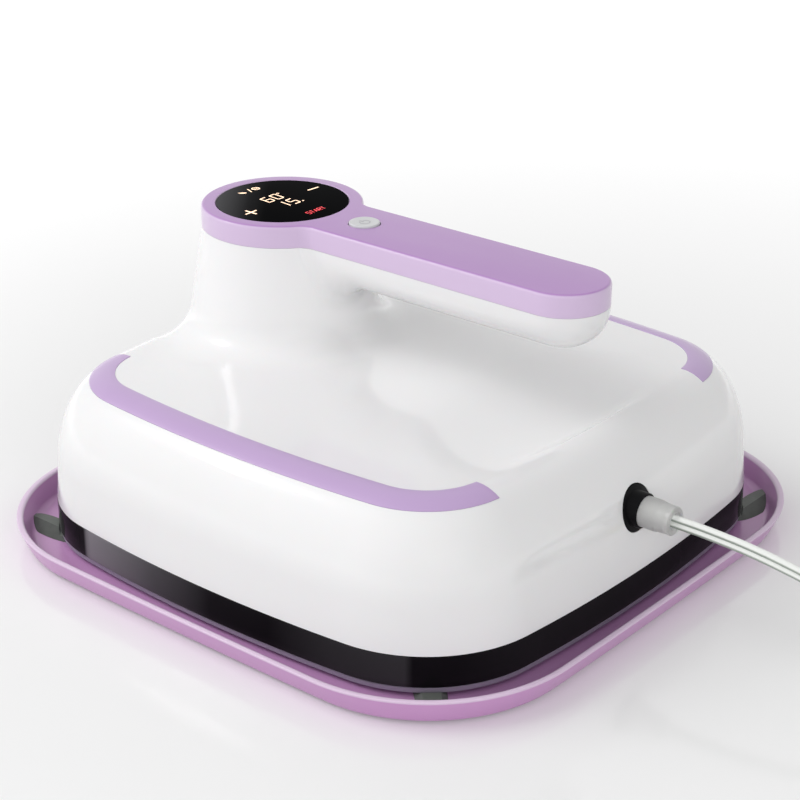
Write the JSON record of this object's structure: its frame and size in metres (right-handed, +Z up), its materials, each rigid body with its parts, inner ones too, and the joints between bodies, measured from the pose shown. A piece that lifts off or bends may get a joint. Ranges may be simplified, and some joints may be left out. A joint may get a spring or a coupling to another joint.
{
  "type": "flat heat press",
  "caption": "Hand-held flat heat press with a display column, a forward-reaching top handle and a power cord, resting on rubber pads in a shallow storage tray.",
  "frame": {"origin": "on the table, under the middle of the tray and of the pressing plate", "axes": "+Z up, -Y towards the user and out of the cord port, the display column at +Y with its text reading along +X"},
  "size_m": [0.2906, 0.4814, 0.1392],
  "materials": {
    "tray_plastic": "smooth glossy mauve",
    "pad_rubber": "matte dark grey",
    "foot_rubber": "matte",
    "cord_jacket": "satin white",
    "tie_rubber": "matte black",
    "blade_brass": "satin",
    "white_shell": "glossy white",
    "white_button": "satin white",
    "lilac_trim": "satin lilac",
    "black_lens": "high gloss black with lit marks",
    "black_gloss": "high gloss black",
    "black_plastic": "satin black",
    "seal_grey": "matte light grey",
    "plate_coating": "dark non-stick coating",
    "steel": "plain",
    "sink_aluminium": "plain",
    "insulation_felt": "felt",
    "board_green": "solder mask",
    "ribbon_grey": "satin grey",
    "clear_sleeve": "translucent whitish"
  },
  "bodies": {
    "tray": {"tray": "tray_plastic", "corner_pad_1": "pad_rubber", "corner_pad_2": "pad_rubber", "corner_pad_3": "pad_rubber", "corner_pad_4": "pad_rubber", "tray_foot_1": "foot_rubber", "tray_foot_2": "foot_rubber", "tray_foot_3": "foot_rubber", "tray_foot_4": "foot_rubber", "cord_coil": "cord_jacket", "cord_tie": "tie_rubber", "plug_body": "cord_jacket", "plug_blade_1": "blade_brass", "plug_blade_2": "blade_brass"},
    "press": {"housing": "white_shell", "stripe_left": "lilac_trim", "stripe_right": "lilac_trim", "handle_cover": "lilac_trim", "display_lens": "black_lens", "led_module": "black_plastic", "display_board": "board_green", "switch_board": "board_green", "tact_switch": "black_plastic", "skirt": "black_gloss", "plate_seal": "seal_grey", "heat_plate": "plate_coating", "heating_element": "steel", "insulation_pad": "insulation_felt", "heat_shield": "steel", "spacer_1": "steel", "spacer_2": "steel", "spacer_3": "steel", "spacer_4": "steel", "shield_screw_1": "steel", "shield_screw_2": "steel", "shield_screw_3": "steel", "shield_screw_4": "steel", "temperature_sensor": "black_plastic", "thermal_fuse": "steel", "control_board": "board_green", "board_screw_1": "steel", "board_screw_2": "steel", "board_screw_3": "steel", "board_screw_4": "steel", "relay": "black_plastic", "terminal_block": "black_plastic", "heat_sink": "sink_aluminium", "ribbon_cable": "ribbon_grey", "cord_gland": "black_plastic", "strain_relief": "clear_sleeve", "cord_lead": "cord_jacket"},
    "power_button": {"power_button": "white_button"}
  },
  "joints": [
    {"name": "press_lift", "type": "slide", "parent": "tray", "child": "press", "axis": [0, 0, 1], "range_m": [0, 0.06]},
    {"name": "power_button_press", "type": "slide", "parent": "press", "child": "power_button", "axis": [0, 0, -1], "range_m": [0, 0.0008], "stiffness_N_per_m": 400, "springref_m": -0.0005}
  ]
}
